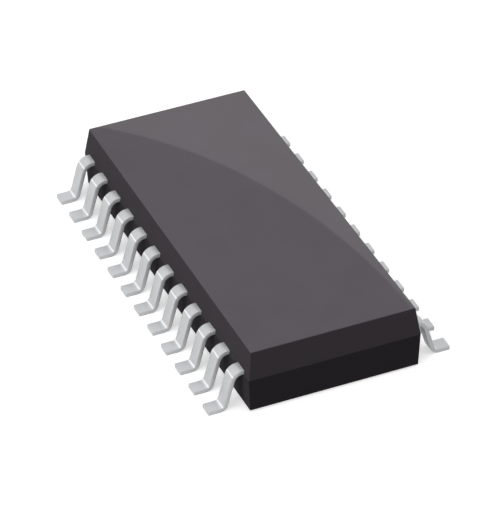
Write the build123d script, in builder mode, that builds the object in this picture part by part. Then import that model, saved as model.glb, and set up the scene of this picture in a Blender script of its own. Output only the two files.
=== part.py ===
from build123d import *
import math
import os

# 24-lead transceiver chip in a wide small-outline package with gull-wing leads.
# Millimetres. The origin is the centre of the footprint on the seating plane.
# +Y runs along the moulding, the two rows of leads stand at -X and +X, +Z is up.
# Lead 1 is at -X +Y, and the count runs down the -X row and back up the +X row.

# Lead rows
leads_per_side = 12
lead_pitch = 1.27

# Moulding
body_width = 6.6
end_margin = 0.715
standoff = 0.05
base_height = 1.35
cover_height = 1.1
base_draft = 2.5
cover_draft = 8.0
body_edge_radius = 0.03
ejector_mark_diameter = 1.2
ejector_mark_depth = 0.04
ejector_mark_spacing = 9.0

# Gull-wing leads
lead_thickness = 0.16
lead_width = 0.55
lead_reach = 1.35
shoulder_length = 0.05
shoulder_bend_radius = 0.3
heel_bend_radius = 0.18
shank_lean = 15.5

# Lead roots and inner fingers, held in the moulding
root_length = 0.45
finger_width = 0.28
tip_clearance = 0.3

# Silicon die, its attach layer and its pad
die_width = 2.2
die_length = 3.4
die_thickness = 0.3
attach_thickness = 0.03
attach_fillet_width = 0.05
pad_border = 0.4
pad_downset = 0.2
tie_bar_width = 0.3
tie_bar_slope = 0.3
tie_bar_end_cover = 0.15

# Bond wires
wire_diameter = 0.04
wire_sides = 8
ball_diameter = 0.09
ball_height = 0.02
wire_neck_height = 0.13
wire_neck_offset = 0.07
wire_loop_height = 0.2
wire_knee_share = 0.45
wire_knee_drop = 0.02
wire_stitch_length = 0.08
wire_land_inset = 0.15
bond_inset = 0.12
bond_corner_clearance = 0.45

# Heights and places worked out from the sizes above
parting_height = standoff + base_height
body_length = (leads_per_side - 1) * lead_pitch + 2 * end_margin
lead_mid_height = parting_height + lead_thickness / 2
lead_top_height = parting_height + lead_thickness
pad_mid_height = lead_mid_height - pad_downset
attach_height = pad_mid_height + lead_thickness / 2
die_height = attach_height + attach_thickness
die_top_height = die_height + die_thickness
pad_width = die_width + 2 * pad_border
pad_length = die_length + 2 * pad_border
root_inner_x = body_width / 2 - root_length
first_lead_y = (leads_per_side - 1) * lead_pitch / 2

# Leads that stand past the pad's ends have fingers that fan in to those ends
lead_ys = [first_lead_y - index * lead_pitch for index in range(leads_per_side)]
fan_count = sum(1 for lead_y in lead_ys if lead_y > pad_length / 2)
fan_first_x = tie_bar_width / 2 + tip_clearance
fan_last_x = pad_width / 2 + tip_clearance


def rank_from_end(index):
    """Count a lead from the nearer end of its row, the outermost lead being 0."""
    return min(index, leads_per_side - 1 - index)


def finger_tip(side, index):
    """Give the point where a lead's inner finger ends, beside the die pad."""
    rank = rank_from_end(index)
    if rank >= fan_count:
        return Vector(side * fan_last_x, lead_ys[index])
    step = (fan_last_x - fan_first_x) / max(fan_count - 1, 1)
    tip_y = math.copysign(pad_length / 2 + tip_clearance, lead_ys[index])
    return Vector(side * (fan_first_x + rank * step), tip_y)


def bond_point(side, index):
    """Give the die's bond pad for a lead, on the die's end or on its long side."""
    rank = rank_from_end(index)
    end_bonds = max(fan_count - 1, 0)
    edge_x = die_width / 2 - bond_inset
    if rank < end_bonds:
        bond_y = math.copysign(die_length / 2 - bond_inset, lead_ys[index])
        return Vector(side * edge_x * (rank + 1) / (end_bonds + 1), bond_y)
    side_bonds = leads_per_side - 2 * end_bonds
    bond_step = (die_length - 2 * bond_corner_clearance) / max(side_bonds - 1, 1)
    return Vector(side * edge_x, bond_step * ((leads_per_side - 1) / 2 - index))


def make_lead(side, index):
    """Make one lead: gull wing, root and inner finger, bent from one stamped strip."""
    lead_y = lead_ys[index]
    centre_bend = lead_thickness / 2
    shoulder_radius = shoulder_bend_radius + centre_bend
    heel_radius = heel_bend_radius + centre_bend
    turn = math.radians(90 - shank_lean)
    knee_x = body_width / 2 + shoulder_length + shoulder_radius * math.tan(turn / 2)
    drop = lead_mid_height - centre_bend
    heel_x = knee_x + drop * math.tan(math.radians(shank_lean))
    tip_x = body_width / 2 + lead_reach
    with BuildPart() as lead:
        with BuildSketch(Plane.XZ.offset(-lead_y)):
            with BuildLine() as gull_wing:
                FilletPolyline(
                    (side * root_inner_x, lead_mid_height),
                    (side * knee_x, lead_mid_height),
                    (side * heel_x, centre_bend),
                    (side * tip_x, centre_bend),
                    radius=(shoulder_radius, heel_radius),
                )
            trace(line_width=lead_thickness)
        extrude(amount=lead_width / 2, both=True)
        with BuildSketch(Plane.XY.offset(parting_height)):
            with BuildLine() as finger:
                Polyline(
                    (side * (root_inner_x + root_length / 2), lead_y),
                    (side * root_inner_x, lead_y),
                    finger_tip(side, index),
                )
            trace(line_width=finger_width)
        extrude(amount=lead_thickness)
    return lead.part


def make_wire(side, index):
    """Make one bond wire: ball on the die, loop over its edge, stitch on a finger."""
    start = bond_point(side, index)
    tip = finger_tip(side, index)
    root = Vector(side * root_inner_x, lead_ys[index])
    land = tip + (root - tip).normalized() * wire_land_inset
    run = land - start
    base = Vector(start.X, start.Y, die_top_height)
    wire_plane = Plane(origin=base, x_dir=run, z_dir=run.cross(Vector(0, 0, 1)))
    bond_plane = Plane(origin=base, x_dir=run, z_dir=(0, 0, 1))
    land_height = lead_top_height + wire_diameter / 2 - die_top_height
    half_side = 180 / wire_sides
    with BuildPart() as wire:
        with BuildLine(wire_plane) as loop:
            Polyline(
                (0, 0),
                (0, wire_neck_height),
                (wire_neck_offset, wire_loop_height),
                (run.length * wire_knee_share, wire_loop_height - wire_knee_drop),
                (run.length, land_height),
                (run.length + wire_stitch_length, land_height),
            )
        with BuildSketch(bond_plane):
            RegularPolygon(wire_diameter / 2, wire_sides, major_radius=False, rotation=half_side)
        sweep(path=loop.line, transition=Transition.RIGHT)
        with BuildSketch(bond_plane):
            RegularPolygon(ball_diameter / 2, wire_sides, major_radius=False, rotation=half_side)
        extrude(amount=ball_height)
    return wire.part


leads = []
wires = []
for side in (-1, 1):
    row = range(leads_per_side) if side < 0 else reversed(range(leads_per_side))
    for index in row:
        leads.append(make_lead(side, index))
        wires.append(make_wire(side, index))

# Die pad with a tie bar at each end, stepped down from the plane of the leads
tie_bar_end = body_length / 2 - tie_bar_end_cover
with BuildPart() as die_pad:
    with BuildSketch(Plane.XY.offset(pad_mid_height)):
        Rectangle(pad_width, pad_length)
    extrude(amount=lead_thickness / 2, both=True)
    for end in (-1, 1):
        with BuildSketch(Plane.YZ):
            with BuildLine() as tie_bar:
                Polyline(
                    (end * (pad_length / 2 - pad_border / 2), pad_mid_height),
                    (end * (pad_length / 2 + tip_clearance / 2), pad_mid_height),
                    (end * (pad_length / 2 + tip_clearance / 2 + tie_bar_slope), lead_mid_height),
                    (end * tie_bar_end, lead_mid_height),
                )
            trace(line_width=lead_thickness)
        extrude(amount=tie_bar_width / 2, both=True)

# Layer of silver-filled epoxy that squeezes out a little round the die
with BuildPart() as die_attach:
    with BuildSketch(Plane.XY.offset(attach_height)):
        Rectangle(die_width + 2 * attach_fillet_width, die_length + 2 * attach_fillet_width)
    extrude(amount=attach_thickness)

with BuildPart() as silicon_die:
    with BuildSketch(Plane.XY.offset(die_height)):
        Rectangle(die_width, die_length)
    extrude(amount=die_thickness)

# Moulding: two drafted halves that meet in the parting plane, cast round the rest
with BuildPart() as package_body:
    with BuildSketch(Plane.XY.offset(parting_height)):
        Rectangle(body_width, body_length)
    extrude(amount=cover_height, taper=cover_draft)
    with BuildSketch(Plane(origin=(0, 0, parting_height), x_dir=(1, 0, 0), z_dir=(0, 0, -1))):
        Rectangle(body_width, body_length)
    extrude(amount=base_height, taper=base_draft)
    parting_edges = package_body.edges().filter_by_position(
        Axis.Z, parting_height, parting_height
    )
    fillet(package_body.edges() - parting_edges, body_edge_radius)
    with Locations(Plane(origin=(0, 0, standoff), z_dir=(0, 0, -1))):
        with GridLocations(1, ejector_mark_spacing, 1, 2):
            Hole(ejector_mark_diameter / 2, ejector_mark_depth)
    add([*leads, *wires, die_pad.part, die_attach.part, silicon_die.part], mode=Mode.SUBTRACT)

pieces = {
    "package_body": package_body.part,
    "die_pad": die_pad.part,
    "die_attach": die_attach.part,
    "silicon_die": silicon_die.part,
}
for number, (lead_part, wire_part) in enumerate(zip(leads, wires), start=1):
    pieces[f"lead_{number:02d}"] = lead_part
    pieces[f"bond_wire_{number:02d}"] = wire_part

os.makedirs("parts", exist_ok=True)
for name, piece in pieces.items():
    piece.label = name
    export_step(piece, f"parts/{name}.step")
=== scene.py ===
"""Looks of a 24-lead transceiver chip in a moulded small-outline package.

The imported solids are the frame. The moulding and the pieces sealed in it keep their solids and
get their finishes here. The leads are modelled again, with smooth bends and eased edges.
"""

import logging
import math
from collections.abc import Callable, Iterable
from dataclasses import dataclass
from enum import Enum

import bpy
from mathutils import Matrix, Vector

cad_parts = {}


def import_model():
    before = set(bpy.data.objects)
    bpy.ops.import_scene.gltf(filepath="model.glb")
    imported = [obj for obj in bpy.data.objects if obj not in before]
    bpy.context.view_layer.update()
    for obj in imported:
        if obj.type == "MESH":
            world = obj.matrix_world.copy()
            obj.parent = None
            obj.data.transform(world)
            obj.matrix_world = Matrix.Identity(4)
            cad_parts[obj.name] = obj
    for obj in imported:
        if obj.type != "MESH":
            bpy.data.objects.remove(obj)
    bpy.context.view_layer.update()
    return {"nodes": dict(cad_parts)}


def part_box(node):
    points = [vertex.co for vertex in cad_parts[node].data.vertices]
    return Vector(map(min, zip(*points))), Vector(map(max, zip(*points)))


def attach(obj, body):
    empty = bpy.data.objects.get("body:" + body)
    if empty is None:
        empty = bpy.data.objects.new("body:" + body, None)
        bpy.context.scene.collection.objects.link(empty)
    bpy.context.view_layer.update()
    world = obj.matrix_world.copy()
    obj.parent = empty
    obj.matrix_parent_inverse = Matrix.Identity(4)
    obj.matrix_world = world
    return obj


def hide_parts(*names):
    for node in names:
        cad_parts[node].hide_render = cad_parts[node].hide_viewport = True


LOG = logging.getLogger("transceiver_chip")
WHITE = (1.0, 1.0, 1.0, 1.0)

# Metres in a millimetre
MM = 0.001

# Places nearer to each other than this count as one, in millimetres
SAME_MM = 0.001

# A face whose normal has more than this share along an axis looks that way
FACING = 0.9


def hex_to_linear(code: str) -> tuple[float, float, float, float]:
    """Turn an sRGB hex colour into linear RGBA, by the curve of the sRGB standard.

    Args:
        code: Six hex digits.

    Returns:
        Linear red, green and blue, and an alpha of 1.
    """
    values = [int(code[i : i + 2], 16) / 255 for i in (0, 2, 4)]
    linear = [v / 12.92 if v <= 0.04045 else ((v + 0.055) / 1.055) ** 2.4 for v in values]
    return (linear[0], linear[1], linear[2], 1.0)


def add_node(
    tree: bpy.types.NodeTree,
    kind: str,
    settings: dict[str, object] | None = None,
    inputs: dict[str | int, object] | None = None,
) -> bpy.types.Node:
    """Add one node to a tree, with its settings and what feeds its sockets.

    Args:
        tree: The node tree.
        kind: The node's type name.
        settings: Attributes to set on the node.
        inputs: A value, or an output socket to link, for each input socket.

    Returns:
        The new node.
    """
    node = tree.nodes.new(kind)
    for name, value in (settings or {}).items():
        setattr(node, name, value)
    for name, value in (inputs or {}).items():
        if isinstance(value, bpy.types.NodeSocket):
            tree.links.new(value, node.inputs[name])
        else:
            node.inputs[name].default_value = value
    return node


def new_material(name: str) -> tuple[bpy.types.Material, bpy.types.NodeTree]:
    """Make an empty node material.

    Args:
        name: The material's name.

    Returns:
        The material and its node tree.
    """
    material = bpy.data.materials.new(name)
    material.use_nodes = True
    material.node_tree.nodes.clear()
    return material, material.node_tree


def close_material(tree: bpy.types.NodeTree, shader: bpy.types.NodeSocket) -> None:
    """Send a shader to the material's output."""
    add_node(tree, "ShaderNodeOutputMaterial", inputs={"Surface": shader})


def millimetre_coordinates(tree: bpy.types.NodeTree) -> bpy.types.NodeSocket:
    """Give object coordinates counted in millimetres, so a scale of 1 is one cell a millimetre.

    Args:
        tree: The material's node tree.

    Returns:
        The place of each point, in millimetres.
    """
    place = add_node(tree, "ShaderNodeTexCoord")
    scale = (1 / MM, 1 / MM, 1 / MM)
    return add_node(
        tree,
        "ShaderNodeMapping",
        {"vector_type": "POINT"},
        {"Vector": place.outputs["Object"], "Scale": scale},
    ).outputs["Vector"]


@dataclass(frozen=True)
class MouldCompound:
    """Black epoxy mould compound, silica filled and transfer moulded.

    The cavity that forms the top is polished and the rest is spark eroded, so the top has a thin
    clear sheen and the flanks are matt. The flanks' colour is painted shade, darker than the
    top's, and darker still below the parting plane.
    """

    name: str = "epoxy_mould_compound"
    colour: str = "4F494F"
    grain_colour: str = "554F56"
    # Painted shade: the flanks darker than the top, and the half below the parting plane darker
    # still
    shaded_flank_colour: str = "3D393D"
    shaded_base_half_colour: str = "2D292D"
    # The filler's grains are about 0.02 mm, finer than a pixel, so they are drawn coarser
    grain_size_mm: float = 0.05
    grain_height_mm: float = 0.0015
    mottle_size_mm: float = 1.6
    # Grain times mottle: up to the first the colour is plain, from the second all grain
    grain_starts: float = 0.12
    grain_full: float = 0.4
    roughness: float = 0.6
    roughness_spread: float = 0.05
    # Mottle at which the roughness is lowest, and at which it is highest
    mottle_low: float = 0.3
    mottle_high: float = 0.7
    specular: float = 0.02
    sheen_weight: float = 0.5
    sheen_roughness: float = 0.008
    # Depths below the top at which the polish starts, and from which it is full; there the
    # flanks' painted shade gives way to the top's colour
    polish_starts_mm: float = 0.03
    polish_full_mm: float = 0.005
    # Half of the height over which one half of the moulding turns into the other
    parting_blur_mm: float = 0.004

    def build(self, top_mm: float, parting_mm: float) -> bpy.types.Material:
        """Build the node material.

        Args:
            top_mm: Height of the moulding's top face, which is polished.
            parting_mm: Height of the parting plane between the mould's two cavities.

        Returns:
            The node material.
        """
        material, tree = new_material(self.name)
        place = millimetre_coordinates(tree)
        grain = add_node(
            tree,
            "ShaderNodeTexNoise",
            inputs={"Vector": place, "Scale": 1 / self.grain_size_mm, "Detail": 2.0},
        ).outputs["Fac"]
        mottle = add_node(
            tree,
            "ShaderNodeTexNoise",
            inputs={"Vector": place, "Scale": 1 / self.mottle_size_mm, "Detail": 3.0},
        ).outputs["Fac"]
        height = add_node(
            tree, "ShaderNodeSeparateXYZ", inputs={"Vector": place}
        ).outputs["Z"]
        top_face = add_node(
            tree,
            "ShaderNodeMapRange",
            inputs={
                "Value": height,
                "From Min": top_mm - self.polish_starts_mm,
                "From Max": top_mm - self.polish_full_mm,
            },
        ).outputs["Result"]
        # The flanks get painted shade, and the top its own colour with grain
        colour = add_node(
            tree,
            "ShaderNodeMix",
            {"data_type": "RGBA"},
            {
                "Factor": top_face,
                "A": self._shaded_flank_tone(tree, height, parting_mm),
                "B": self._top_tone(tree, grain, mottle),
            },
        )
        rough = add_node(
            tree,
            "ShaderNodeMapRange",
            inputs={
                "Value": mottle,
                "From Min": self.mottle_low,
                "From Max": self.mottle_high,
                "To Min": self.roughness - self.roughness_spread,
                "To Max": self.roughness + self.roughness_spread,
            },
        )
        bump = add_node(
            tree,
            "ShaderNodeBump",
            inputs={"Height": grain, "Strength": 1.0, "Distance": self.grain_height_mm * MM},
        )
        sheen = add_node(
            tree, "ShaderNodeMath", {"operation": "MULTIPLY"}, {0: top_face, 1: self.sheen_weight}
        )
        shader = add_node(
            tree,
            "ShaderNodeBsdfPrincipled",
            inputs={
                "Base Color": colour.outputs["Result"],
                "Roughness": rough.outputs["Result"],
                "Specular IOR Level": self.specular,
                "Normal": bump.outputs["Normal"],
                "Coat Weight": sheen.outputs[0],
                "Coat Roughness": self.sheen_roughness,
            },
        )
        close_material(tree, shader.outputs["BSDF"])
        return material

    def _top_tone(
        self,
        tree: bpy.types.NodeTree,
        grain: bpy.types.NodeSocket,
        mottle: bpy.types.NodeSocket,
    ) -> bpy.types.NodeSocket:
        """Give the top's colour, with the filler's grain stronger in some clouds than in others.

        Args:
            tree: The material's node tree.
            grain: The filler's grain, from 0 to 1.
            mottle: The clouds, from 0 to 1.

        Returns:
            The colour.
        """
        blend = add_node(tree, "ShaderNodeMath", {"operation": "MULTIPLY"}, {0: grain, 1: mottle})
        spread = add_node(
            tree,
            "ShaderNodeMapRange",
            inputs={
                "Value": blend.outputs[0],
                "From Min": self.grain_starts,
                "From Max": self.grain_full,
            },
        )
        return add_node(
            tree,
            "ShaderNodeMix",
            {"data_type": "RGBA"},
            {
                "Factor": spread.outputs["Result"],
                "A": hex_to_linear(self.colour),
                "B": hex_to_linear(self.grain_colour),
            },
        ).outputs["Result"]

    def _shaded_flank_tone(
        self, tree: bpy.types.NodeTree, height: bpy.types.NodeSocket, parting_mm: float
    ) -> bpy.types.NodeSocket:
        """Give the flanks' colour, painted shade that is darker still below the parting plane.

        Args:
            tree: The material's node tree.
            height: The height in millimetres.
            parting_mm: Height of the parting plane.

        Returns:
            The colour.
        """
        cover = add_node(
            tree,
            "ShaderNodeMapRange",
            inputs={
                "Value": height,
                "From Min": parting_mm - self.parting_blur_mm,
                "From Max": parting_mm + self.parting_blur_mm,
            },
        )
        return add_node(
            tree,
            "ShaderNodeMix",
            {"data_type": "RGBA"},
            {
                "Factor": cover.outputs["Result"],
                "A": hex_to_linear(self.shaded_base_half_colour),
                "B": hex_to_linear(self.shaded_flank_colour),
            },
        ).outputs["Result"]


@dataclass(frozen=True)
class TinPlating:
    """Matt tin, electroplated on stamped copper alloy strip.

    Rolled faces are an even pale satin. Sheared edges are a little rougher, because the punch
    tears them before they are plated, and their colour is a hair darker as faint painted shade.
    Each bend carries a painted highlight, a bright line across a narrow band.
    """

    name: str = "matt_tin_plating"
    colour: str = "CBCDCF"
    dull_colour: str = "C7C9CB"
    # The sheared edges' colour is a hair darker than the rolled faces': faint painted shade
    shaded_edge_colour: str = "CACCCE"
    # A painted highlight: the bright line on each bend
    painted_highlight_colour: str = "F2F4F5"
    # Tin's crystals are a few thousandths of a millimetre across, so they are drawn far coarser
    crystal_size_mm: float = 0.06
    crystal_height_mm: float = 0.0006
    cloud_size_mm: float = 0.7
    # Cloud at which the tin is bright, and at which it is dull
    cloud_low: float = 0.35
    cloud_high: float = 0.65
    metallic: float = 0.4
    roughness: float = 0.45
    edge_roughness: float = 0.5
    # Share of a normal along the row at which a face starts to be a sheared edge, and is one
    edge_starts: float = 0.75
    edge_full: float = 0.95
    # Width of the painted highlight across each bend
    highlight_width_mm: float = 0.06
    # Shares of that width from the middle at which the painted highlight starts to fade, and is
    # gone
    highlight_fades: float = 0.35
    highlight_ends: float = 0.65

    def build(self, creases: list[tuple[float, float]]) -> bpy.types.Material:
        """Build the node material.

        Args:
            creases: Where the painted highlight lies on the bends, as distances from the middle
            plane and heights, in millimetres.

        Returns:
            The node material.
        """
        material, tree = new_material(self.name)
        place = millimetre_coordinates(tree)
        crystals = add_node(
            tree,
            "ShaderNodeTexNoise",
            inputs={"Vector": place, "Scale": 1 / self.crystal_size_mm, "Detail": 2.0},
        )
        edge = self._edge(tree)
        # The sheared edges get their faint painted shade
        colour = add_node(
            tree,
            "ShaderNodeMix",
            {"data_type": "RGBA"},
            {
                "Factor": edge,
                "A": self._rolled_tone(tree, place),
                "B": hex_to_linear(self.shaded_edge_colour),
            },
        )
        # Painted highlight: a bright band across each bend
        highlighted = add_node(
            tree,
            "ShaderNodeMix",
            {"data_type": "RGBA"},
            {
                "Factor": self._painted_highlight(tree, place, creases),
                "A": colour.outputs["Result"],
                "B": hex_to_linear(self.painted_highlight_colour),
            },
        )
        rough = add_node(
            tree,
            "ShaderNodeMapRange",
            inputs={"Value": edge, "To Min": self.roughness, "To Max": self.edge_roughness},
        )
        bump = add_node(
            tree,
            "ShaderNodeBump",
            inputs={
                "Height": crystals.outputs["Fac"],
                "Strength": 1.0,
                "Distance": self.crystal_height_mm * MM,
            },
        )
        shader = add_node(
            tree,
            "ShaderNodeBsdfPrincipled",
            inputs={
                "Base Color": highlighted.outputs["Result"],
                "Metallic": self.metallic,
                "Roughness": rough.outputs["Result"],
                "Normal": bump.outputs["Normal"],
            },
        )
        close_material(tree, shader.outputs["BSDF"])
        return material

    def _rolled_tone(
        self, tree: bpy.types.NodeTree, place: bpy.types.NodeSocket
    ) -> bpy.types.NodeSocket:
        """Give the rolled faces' colour, with faint dull clouds.

        Args:
            tree: The material's node tree.
            place: The place in millimetres.

        Returns:
            The colour.
        """
        clouds = add_node(
            tree,
            "ShaderNodeTexNoise",
            inputs={"Vector": place, "Scale": 1 / self.cloud_size_mm, "Detail": 2.0},
        )
        dull = add_node(
            tree,
            "ShaderNodeMapRange",
            inputs={
                "Value": clouds.outputs["Fac"],
                "From Min": self.cloud_low,
                "From Max": self.cloud_high,
            },
        )
        return add_node(
            tree,
            "ShaderNodeMix",
            {"data_type": "RGBA"},
            {
                "Factor": dull.outputs["Result"],
                "A": hex_to_linear(self.colour),
                "B": hex_to_linear(self.dull_colour),
            },
        ).outputs["Result"]

    def _edge(self, tree: bpy.types.NodeTree) -> bpy.types.NodeSocket:
        """Give 1 on the sheared edges, which look along the row, and 0 on the rolled faces.

        Args:
            tree: The material's node tree.

        Returns:
            The mask.
        """
        facing = add_node(tree, "ShaderNodeNewGeometry")
        direction = add_node(
            tree, "ShaderNodeSeparateXYZ", inputs={"Vector": facing.outputs["Normal"]}
        )
        along = add_node(
            tree, "ShaderNodeMath", {"operation": "ABSOLUTE"}, {0: direction.outputs["Y"]}
        )
        return add_node(
            tree,
            "ShaderNodeMapRange",
            inputs={
                "Value": along.outputs[0],
                "From Min": self.edge_starts,
                "From Max": self.edge_full,
            },
        ).outputs["Result"]

    def _painted_highlight(
        self,
        tree: bpy.types.NodeTree,
        place: bpy.types.NodeSocket,
        creases: list[tuple[float, float]],
    ) -> bpy.types.NodeSocket | float:
        """Give 1 in the narrow band of each bend that carries the painted highlight.

        Args:
            tree: The material's node tree.
            place: The place in millimetres.
            creases: The bands' middles, as distances from the middle plane and heights.

        Returns:
            The mask.
        """
        split = add_node(tree, "ShaderNodeSeparateXYZ", inputs={"Vector": place})
        out = add_node(tree, "ShaderNodeMath", {"operation": "ABSOLUTE"}, {0: split.outputs["X"]})
        section = add_node(
            tree,
            "ShaderNodeCombineXYZ",
            inputs={"X": out.outputs[0], "Z": split.outputs["Z"]},
        )
        mask = 0.0
        for reach, height in creases:
            away = add_node(
                tree,
                "ShaderNodeVectorMath",
                {"operation": "DISTANCE"},
                {0: section.outputs[0], 1: (reach, 0.0, height)},
            )
            band = add_node(
                tree,
                "ShaderNodeMapRange",
                inputs={
                    "Value": away.outputs["Value"],
                    "From Min": self.highlight_width_mm * self.highlight_fades,
                    "From Max": self.highlight_width_mm * self.highlight_ends,
                    "To Min": 1.0,
                    "To Max": 0.0,
                },
            )
            mask = add_node(
                tree,
                "ShaderNodeMath",
                {"operation": "MAXIMUM"},
                {0: mask, 1: band.outputs["Result"]},
            ).outputs[0]
        return mask


@dataclass(frozen=True)
class SealedFinish:
    """Finish of a piece that the moulding hides: one metal, resin or crystal with faint clouds.

    The clouds are coarser than the real grain, which is too fine to show.
    """

    name: str
    colour: str
    cloud_colour: str
    metallic: float
    roughness: float
    cloud_size_mm: float

    def build(self) -> bpy.types.Material:
        """Build the node material.

        Returns:
            The node material.
        """
        material, tree = new_material(self.name)
        place = millimetre_coordinates(tree)
        clouds = add_node(
            tree,
            "ShaderNodeTexNoise",
            inputs={"Vector": place, "Scale": 1 / self.cloud_size_mm, "Detail": 2.0},
        )
        colour = add_node(
            tree,
            "ShaderNodeMix",
            {"data_type": "RGBA"},
            {
                "Factor": clouds.outputs["Fac"],
                "A": hex_to_linear(self.colour),
                "B": hex_to_linear(self.cloud_colour),
            },
        )
        shader = add_node(
            tree,
            "ShaderNodeBsdfPrincipled",
            inputs={
                "Base Color": colour.outputs["Result"],
                "Metallic": self.metallic,
                "Roughness": self.roughness,
            },
        )
        close_material(tree, shader.outputs["BSDF"])
        return material


class Side(Enum):
    """The two rows of leads, by the sign of their X."""

    LEFT = -1
    RIGHT = 1


def deselect_all() -> None:
    """Leave no object selected and none being edited."""
    if bpy.context.object and bpy.context.object.mode != "OBJECT":
        bpy.ops.object.mode_set(mode="OBJECT")
    bpy.ops.object.select_all(action="DESELECT")


def select_faces(
    piece: bpy.types.Object, wanted: Callable[[bpy.types.MeshPolygon], bool]
) -> None:
    """Select the faces that a test picks, then go back into edit mode.

    Args:
        piece: The mesh being edited.
        wanted: Takes a polygon and says whether it is picked.
    """
    bpy.ops.object.mode_set(mode="EDIT")
    bpy.ops.mesh.select_all(action="DESELECT")
    bpy.ops.mesh.select_mode(type="FACE")
    bpy.ops.object.mode_set(mode="OBJECT")
    for polygon in piece.data.polygons:
        polygon.select = wanted(polygon)
    bpy.ops.object.mode_set(mode="EDIT")


@dataclass
class GullWingLeads:
    """The 24 leads, each one strip: inner finger, root, shoulder, shank and foot.

    Sizes are millimetres and angles are degrees. A bend's radius is the one on its inside. The
    wing is modelled as a right-hand lead about Y = 0, and then copied and mirrored into place.
    """

    plating: TinPlating = TinPlating()
    per_side: int = 12
    pitch: float = 1.27
    body_width: float = 6.6
    parting_height: float = 1.4
    thickness: float = 0.16
    width: float = 0.55
    reach: float = 1.35
    shoulder_length: float = 0.05
    shoulder_radius: float = 0.3
    heel_radius: float = 0.18
    shank_lean: float = 15.5
    # Share of the shoulder's turn at which its painted highlight lies
    shoulder_highlight: float = 0.7
    root_length: float = 0.45
    finger_width: float = 0.28
    # Straight part of a finger before it turns
    finger_stub: float = 0.03
    pad_half_width: float = 1.5
    pad_half_length: float = 2.1
    tie_bar_width: float = 0.3
    tip_clearance: float = 0.3
    edge_radius: float = 0.012
    edge_segments: int = 2
    # Edges that turn more than the first are eased, and more than the second are shaded crisp
    edge_angle: float = 40.0
    smooth_angle: float = 35.0
    bend_steps: int = 14

    def build(self) -> list[bpy.types.Object]:
        """Model one gull wing, copy it to each place and grow each copy's own finger.

        Returns:
            The leads, in the order of their numbers.
        """
        master = self._gull_wing()
        tin = self.plating.build(self._creases())
        pieces = []
        for number in range(1, 2 * self.per_side + 1):
            node = f"lead_{number:02d}"
            piece = master.copy()
            piece.data = master.data.copy()
            piece.name = f"{node}_strip"
            piece.data.name = piece.name
            bpy.context.scene.collection.objects.link(piece)
            self._finish(piece, number)
            piece.data.materials.append(tin)
            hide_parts(node)
            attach(piece, "root")
            pieces.append(piece)
        bpy.data.objects.remove(master)
        return pieces

    def _shape(self) -> tuple[float, float, Vector, Vector]:
        """Work out the bends of the gull wing.

        Returns:
            The turn of each bend in radians, the shank's length, and the centres of the shoulder
            bend and of the heel bend, in millimetres.
        """
        turn = math.radians(90 - self.shank_lean)
        knee = self.shoulder_radius + self.thickness / 2
        heel = self.heel_radius + self.thickness / 2
        high = Vector((self.body_width / 2 + self.shoulder_length, 0, 0))
        high.z = self.parting_height - self.shoulder_radius
        drop = high.z + knee * math.cos(turn) - self.thickness / 2 - heel * (1 - math.cos(turn))
        length = drop / math.sin(turn)
        reach = high.x + (knee + heel) * math.sin(turn) + length * math.cos(turn)
        return turn, length, high, Vector((reach, 0, self.thickness + self.heel_radius))

    def _creases(self) -> list[tuple[float, float]]:
        """Work out where the painted highlight lies on the upper faces of both bends.

        Returns:
            A distance from the middle plane and a height for each bend, in millimetres.
        """
        turn, _, high, low = self._shape()
        # The painted highlight sits part way round the shoulder and half way round the heel
        highlight_turn = turn * self.shoulder_highlight
        late = Vector((math.sin(highlight_turn), 0, math.cos(highlight_turn)))
        half = Vector((math.sin(turn / 2), 0, math.cos(turn / 2)))
        upper = high + late * (self.shoulder_radius + self.thickness)
        lower = low - half * self.heel_radius
        return [(upper.x, upper.z), (lower.x, lower.z)]

    def _gull_wing(self) -> bpy.types.Object:
        """Model the gull wing from its root to its foot, in millimetres.

        Returns:
            The wing, with a plain end at the root for a finger to grow from.
        """
        turn, length, shoulder, heel = self._shape()
        inner = self.body_width / 2 - self.root_length
        outer = shoulder.x
        low = self.parting_height
        high = low + self.thickness
        deselect_all()
        bpy.ops.mesh.primitive_cube_add(
            size=1,
            location=((inner + outer) / 2, 0, (low + high) / 2),
            scale=(outer - inner, self.width, self.thickness),
        )
        wing = bpy.context.object
        bpy.ops.object.transform_apply(location=True, rotation=True, scale=True)
        select_faces(wing, lambda p: p.normal.x > FACING)
        self._bend(shoulder, turn)
        self._run(Vector((length * math.cos(turn), 0, -length * math.sin(turn))))
        self._bend(heel, -turn)
        self._run(Vector((self.body_width / 2 + self.reach - heel.x, 0, 0)))
        bpy.ops.object.mode_set(mode="OBJECT")
        return wing

    def _bend(self, centre: Vector, angle: float) -> None:
        """Extrude the selected end face round an axis along Y.

        Args:
            centre: A point on the axis.
            angle: The turn in radians, positive downwards.
        """
        for _ in range(self.bend_steps):
            bpy.ops.mesh.extrude_region()
            bpy.ops.transform.rotate(
                value=-angle / self.bend_steps,
                orient_axis="Y",
                orient_type="GLOBAL",
                center_override=centre,
            )

    @staticmethod
    def _run(step: Vector) -> None:
        """Extrude the selected end face straight by a step."""
        bpy.ops.mesh.extrude_region_move(TRANSFORM_OT_translate={"value": step})

    @staticmethod
    def _swing(centre: Vector, angle: float) -> None:
        """Turn the selected end face about an upright axis.

        Args:
            centre: A point on the axis.
            angle: The turn in radians, positive anticlockwise from above.
        """
        bpy.ops.transform.rotate(
            value=-angle, orient_axis="Z", orient_type="GLOBAL", center_override=centre
        )

    @staticmethod
    def _turn(start: Vector, goal: Vector) -> float:
        """Give the turn about Z from straight in, towards -X, to a goal."""
        return math.atan2(start.y - goal.y, start.x - goal.x)

    def _row(self) -> list[float]:
        """List the leads' places along the moulding, in millimetres."""
        return [((self.per_side - 1) / 2 - i) * self.pitch for i in range(self.per_side)]

    def _lead_y(self, number: int) -> float:
        """Give a lead's place along the moulding, in millimetres."""
        index = number - 1 if number <= self.per_side else 2 * self.per_side - number
        return self._row()[index]

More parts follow.
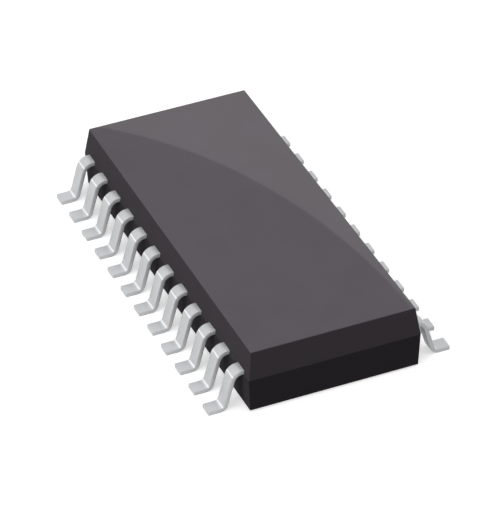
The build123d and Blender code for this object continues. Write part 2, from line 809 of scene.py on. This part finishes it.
    def _finger_tip(self, lead_y: float) -> Vector:
        """Give where a finger ends: beside the die pad, or past its end in a fan.

        Args:
            lead_y: The lead's place along the moulding, in millimetres.

        Returns:
            The middle of the finger's end on the right-hand side, in millimetres.
        """
        last_x = self.pad_half_width + self.tip_clearance
        if abs(lead_y) <= self.pad_half_length:
            return Vector((last_x, lead_y, 0))
        first_x = self.tie_bar_width / 2 + self.tip_clearance
        fan = [y for y in self._row() if y > self.pad_half_length]
        rank = sum(1 for y in fan if y > abs(lead_y) + SAME_MM)
        step = (last_x - first_x) / (len(fan) - 1)
        tip_y = math.copysign(self.pad_half_length + self.tip_clearance, lead_y)
        return Vector((first_x + rank * step, tip_y, 0))

    def _finish(self, piece: bpy.types.Object, number: int) -> None:
        """Grow a copy's finger, ease its edges and put it in its place in the row.

        Args:
            piece: The copy of the gull wing, in millimetres.
            number: The lead's number.
        """
        side = Side.LEFT if number <= self.per_side else Side.RIGHT
        lead_y = self._lead_y(number)
        deselect_all()
        piece.select_set(True)
        bpy.context.view_layer.objects.active = piece
        self._grow_finger(piece, lead_y)
        self._ease_edges(piece)
        move = Matrix.Diagonal((MM * side.value, MM, MM, 1)) @ Matrix.Translation((0, lead_y, 0))
        piece.data.transform(move)
        self._shade(piece)

    def _grow_finger(self, piece: bpy.types.Object, lead_y: float) -> None:
        """Extrude a finger from the root: a narrow stub, a mitred turn and the way to its tip.

        Args:
            piece: The copy of the gull wing, in millimetres.
            lead_y: The lead's place along the moulding, in millimetres.
        """
        root = self.body_width / 2 - self.root_length
        middle = Vector((root, 0, self.parting_height + self.thickness / 2))
        goal = self._finger_tip(lead_y) + Vector((0, -lead_y, middle.z))
        select_faces(piece, lambda p: p.center.x < root + SAME_MM)
        bpy.ops.mesh.extrude_region()
        narrow = self.finger_width / self.width
        bpy.ops.transform.resize(value=(1, narrow, 1), center_override=middle)
        slope = abs(math.tan(self._turn(middle, goal) / 2))
        stub = self.finger_stub + self.finger_width / 2 * slope
        self._run(Vector((-stub, 0, 0)))
        middle.x -= stub
        turn = self._turn(middle, goal)
        mitre = 1 / math.cos(turn / 2)
        bpy.ops.transform.resize(value=(1, mitre, 1), center_override=middle)
        self._swing(middle, turn / 2)
        self._run(goal - middle)
        self._swing(goal, -turn / 2)
        bpy.ops.transform.resize(value=(1, 1 / mitre, 1), center_override=goal)
        self._swing(goal, turn)
        bpy.ops.object.mode_set(mode="OBJECT")

    def _ease_edges(self, piece: bpy.types.Object) -> None:
        """Round the strip's sharp edges a little.

        Args:
            piece: The lead, in millimetres.
        """
        bevel = piece.modifiers.new("eased_edges", "BEVEL")
        bevel.width = self.edge_radius
        bevel.segments = self.edge_segments
        bevel.limit_method = "ANGLE"
        bevel.angle_limit = math.radians(self.edge_angle)
        bpy.ops.object.modifier_apply(modifier=bevel.name)

    def _shade(self, piece: bpy.types.Object) -> None:
        """Point the faces outwards, also after a mirror, and shade bends smooth and flats flat.

        Args:
            piece: The lead, in its place.
        """
        bpy.ops.object.mode_set(mode="EDIT")
        bpy.ops.mesh.select_all(action="SELECT")
        bpy.ops.mesh.normals_make_consistent(inside=False)
        bpy.ops.object.mode_set(mode="OBJECT")
        bpy.ops.object.shade_smooth_by_angle(angle=math.radians(self.smooth_angle))
        flat = piece.modifiers.new("flat_faces", "WEIGHTED_NORMAL")
        flat.keep_sharp = True
        bpy.ops.object.modifier_apply(modifier=flat.name)


@dataclass
class Package:
    """The moulding and the pieces sealed in it, which keep their solids."""

    nodes: dict[str, bpy.types.Object]
    parting_mm: float
    compound: MouldCompound = MouldCompound()
    # Rolled copper alloy: warm and half bright
    strip: SealedFinish = SealedFinish(
        name="bare_copper_strip",
        colour="C98A66",
        cloud_colour="B97A58",
        metallic=1.0,
        roughness=0.35,
        cloud_size_mm=0.2,
    )
    # Silver flakes in resin: a dull grey with a fine speckle
    resin: SealedFinish = SealedFinish(
        name="silver_filled_epoxy",
        colour="B4B4B0",
        cloud_colour="8E8E8A",
        metallic=0.3,
        roughness=0.5,
        cloud_size_mm=0.03,
    )
    # Sawn from a polished wafer: dark, smooth and glossy
    crystal: SealedFinish = SealedFinish(
        name="polished_silicon",
        colour="4A4E5A",
        cloud_colour="3E424E",
        metallic=0.6,
        roughness=0.15,
        cloud_size_mm=0.5,
    )
    # Wire drawn through a die: a smooth bright yellow
    gold: SealedFinish = SealedFinish(
        name="drawn_gold_wire",
        colour="E8C060",
        cloud_colour="D8AE50",
        metallic=1.0,
        roughness=0.2,
        cloud_size_mm=0.1,
    )

    def dress(self) -> list[bpy.types.Object]:
        """Give the moulding, pad, attach layer, die and wires their finishes.

        Returns:
            The pieces that were dressed.
        """
        top_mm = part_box("package_body")[1].z / MM
        finishes = {
            "package_body": self.compound.build(top_mm, self.parting_mm),
            "die_pad": self.strip.build(),
            "die_attach": self.resin.build(),
            "silicon_die": self.crystal.build(),
        }
        wires = [name for name in sorted(self.nodes) if name.startswith("bond_wire_")]
        finishes.update(dict.fromkeys(wires, self.gold.build()))
        for name, material in finishes.items():
            slots = self.nodes[name].data.materials
            slots.clear()
            slots.append(material)
        return [self.nodes[name] for name in finishes]


@dataclass(frozen=True)
class Softbox:
    """A square lamp that points at the chip, and that gloss doesn't mirror.

    The way is the direction in which it hangs, and the size and the distance are millimetres.
    The share is the light that it gives a surface that faces it, where 1 makes white paper white.
    """

    name: str
    way: tuple[float, float, float]
    share: float
    size: float = 200.0
    distance: float = 350.0

    def hang(self) -> None:
        """Make the lamp.

        P watts from a flat lamp give a surface at distance d that faces it P / (pi * d * d) of
        light, and white paper looks white under a light of pi.
        """
        data = bpy.data.lights.new(self.name, "AREA")
        data.shape = "SQUARE"
        data.size = self.size * MM
        data.energy = self.share * math.pi**2 * (self.distance * MM) ** 2
        lamp = bpy.data.objects.new(self.name, data)
        bpy.context.scene.collection.objects.link(lamp)
        back = Vector(self.way).normalized()
        turn = back.to_track_quat("Z", "Y").to_matrix()
        lamp.matrix_world = Matrix.Translation(back * self.distance * MM) @ turn.to_4x4()
        lamp.visible_camera = False
        lamp.visible_glossy = False


@dataclass
class Studio:
    """A white floor and surroundings, soft lamps and the camera at the picture's angle.

    Sizes and places are millimetres, angles are degrees, and a level of 1 is white.
    """

    floor_size: float = 4000.0
    # Gap under the feet, so that they don't share a plane with the floor
    floor_drop: float = 0.002
    # What the eye gets from the floor: its own glow, and paper on which the shadows show
    glow_level: float = 0.56
    paper_level: float = 0.65
    # What the chip gets as plain light from the floor and from the surroundings
    bounce_level: float = 0.2
    ambient_level: float = 0.18
    # A bright ring that only gloss mirrors, with its half angles and how far each edge fades
    ring_way: tuple[float, float, float] = (0.24015, 0.71534, 0.65621)
    ring_level: float = 1.95
    ring_outer: float = 9.4
    ring_outer_fade: float = 0.5
    ring_inner: float = 7.015
    ring_inner_fade: float = 0.02
    lamps: tuple[Softbox, ...] = (
        Softbox("overhead_softbox", (0.0, -0.15, 1.0), share=0.56, size=250.0),
        Softbox("left_softbox", (-1.0, -0.35, 0.35), share=0.61),
        Softbox("front_softbox", (-0.1, -1.0, 0.35), share=0.07),
        Softbox("back_softbox", (1.0, 1.0, 0.35), share=0.14),
    )
    # Fitted to the picture
    camera_place: tuple[float, float, float] = (-49.2445, -116.5351, 92.4472)
    camera_forward: tuple[float, float, float] = (0.315732, 0.74594, -0.586418)
    camera_up: tuple[float, float, float] = (0.242675, 0.533995, 0.809913)
    lens: float = 306.7
    sensor: float = 36.0
    nearest_seen: float = 5.0
    farthest_seen: float = 20000.0

    def build(self) -> None:
        """Build the floor, the world, the lamps and the camera."""
        self._floor()
        self._world()
        for lamp in self.lamps:
            lamp.hang()
        self._camera()

    @staticmethod
    def _seen(tree: bpy.types.NodeTree) -> bpy.types.NodeSocket:
        """Give 1 where the eye, gloss or glass looks, and 0 for diffuse light.

        Args:
            tree: The node tree of the floor or of the world.

        Returns:
            The mask.
        """
        path = add_node(tree, "ShaderNodeLightPath")
        eye = add_node(
            tree,
            "ShaderNodeMath",
            {"operation": "MAXIMUM"},
            {0: path.outputs["Is Camera Ray"], 1: path.outputs["Is Glossy Ray"]},
        )
        return add_node(
            tree,
            "ShaderNodeMath",
            {"operation": "MAXIMUM"},
            {0: eye.outputs[0], 1: path.outputs["Is Transmission Ray"]},
        ).outputs[0]

    def _floor(self) -> None:
        """Lay the floor: white to the eye with its shadows, grey to the light it sends back."""
        deselect_all()
        bpy.ops.mesh.primitive_plane_add(
            size=self.floor_size * MM, location=(0, 0, -self.floor_drop * MM)
        )
        floor = bpy.context.object
        floor.name = "studio_floor"
        material, tree = new_material("white_paper_sweep")
        seen = self._seen(tree)
        level = add_node(
            tree,
            "ShaderNodeMapRange",
            inputs={"Value": seen, "To Min": self.bounce_level, "To Max": self.paper_level},
        )
        tone = add_node(
            tree,
            "ShaderNodeCombineXYZ",
            inputs={axis: level.outputs["Result"] for axis in "XYZ"},
        )
        paper = add_node(tree, "ShaderNodeBsdfDiffuse", inputs={"Color": tone.outputs[0]})
        glow = add_node(
            tree, "ShaderNodeMath", {"operation": "MULTIPLY"}, {0: seen, 1: self.glow_level}
        )
        lift = add_node(
            tree, "ShaderNodeEmission", inputs={"Color": WHITE, "Strength": glow.outputs[0]}
        )
        both = add_node(
            tree, "ShaderNodeAddShader", inputs={0: paper.outputs[0], 1: lift.outputs[0]}
        )
        close_material(tree, both.outputs[0])
        floor.data.materials.append(material)

    def _cone(
        self, tree: bpy.types.NodeTree, way: bpy.types.NodeSocket, spread: float, fade: float
    ) -> bpy.types.NodeSocket:
        """Give 1 inside a cone of directions about the ring's middle and 0 outside.

        Args:
            tree: The world's node tree.
            way: The direction looked in.
            spread: The cone's half angle in degrees.
            fade: How many degrees its edge fades over.

        Returns:
            The mask.
        """
        near = add_node(
            tree,
            "ShaderNodeVectorMath",
            {"operation": "DOT_PRODUCT"},
            {0: way, 1: Vector(self.ring_way).normalized()},
        )
        return add_node(
            tree,
            "ShaderNodeMapRange",
            inputs={
                "Value": near.outputs["Value"],
                "From Min": math.cos(math.radians(spread + fade / 2)),
                "From Max": math.cos(math.radians(spread - fade / 2)),
            },
        ).outputs["Result"]

    def _world(self) -> None:
        """Make the surroundings white to the eye, with a bright ring for gloss to mirror.

        The ring hangs behind the chip, and its inner edge is the curved edge that shows in the
        sheen of the moulding's top.
        """
        world = bpy.data.worlds.new("studio_world")
        bpy.context.scene.world = world
        world.use_nodes = True
        tree = world.node_tree
        tree.nodes.clear()
        way = add_node(tree, "ShaderNodeTexCoord").outputs["Generated"]
        outer = self._cone(tree, way, self.ring_outer, self.ring_outer_fade)
        inner = self._cone(tree, way, self.ring_inner, self.ring_inner_fade)
        path = add_node(tree, "ShaderNodeLightPath")
        ring = add_node(
            tree,
            "ShaderNodeMath",
            {"operation": "SUBTRACT", "use_clamp": True},
            {0: outer, 1: inner},
        )
        mirrored = add_node(
            tree,
            "ShaderNodeMath",
            {"operation": "MULTIPLY"},
            {0: ring.outputs[0], 1: path.outputs["Is Glossy Ray"]},
        )
        plain = add_node(
            tree,
            "ShaderNodeMapRange",
            inputs={"Value": self._seen(tree), "To Min": self.ambient_level, "To Max": 1.0},
        )
        # Gloss sees white all round already, so the ring adds only what it has above 1
        level = add_node(
            tree,
            "ShaderNodeMath",
            {"operation": "MULTIPLY_ADD"},
            {0: mirrored.outputs[0], 1: self.ring_level - 1.0, 2: plain.outputs["Result"]},
        )
        light = add_node(
            tree, "ShaderNodeBackground", inputs={"Color": WHITE, "Strength": level.outputs[0]}
        )
        add_node(tree, "ShaderNodeOutputWorld", inputs={"Surface": light.outputs[0]})

    def _camera(self) -> None:
        """Stand the camera where the picture was seen from."""
        data = bpy.data.cameras.new("picture_camera")
        data.sensor_width = self.sensor
        data.lens = self.lens
        data.clip_start = self.nearest_seen * MM
        data.clip_end = self.farthest_seen * MM
        camera = bpy.data.objects.new("picture_camera", data)
        bpy.context.scene.collection.objects.link(camera)
        back = -Vector(self.camera_forward).normalized()
        right = Vector(self.camera_up).cross(back).normalized()
        turn = Matrix((right, back.cross(right), back)).transposed().to_4x4()
        camera.matrix_world = Matrix.Translation(Vector(self.camera_place) * MM) @ turn
        bpy.context.scene.camera = camera


def main() -> None:
    """Load the frame, dress it, build the leads and the studio, and note the sizes."""
    logging.basicConfig(level=logging.INFO, format="%(name)s: %(message)s")
    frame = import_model()
    leads = GullWingLeads()
    package = Package(frame["nodes"], leads.parting_height)
    for piece in [*package.dress(), *leads.build()]:
        mesh = piece.data
        LOG.info("%s: %d faces of %s", piece.name, len(mesh.polygons), mesh.materials[0].name)
    Studio().build()
    bpy.context.scene.view_settings.view_transform = "Standard"


if __name__ == "__main__":
    main()
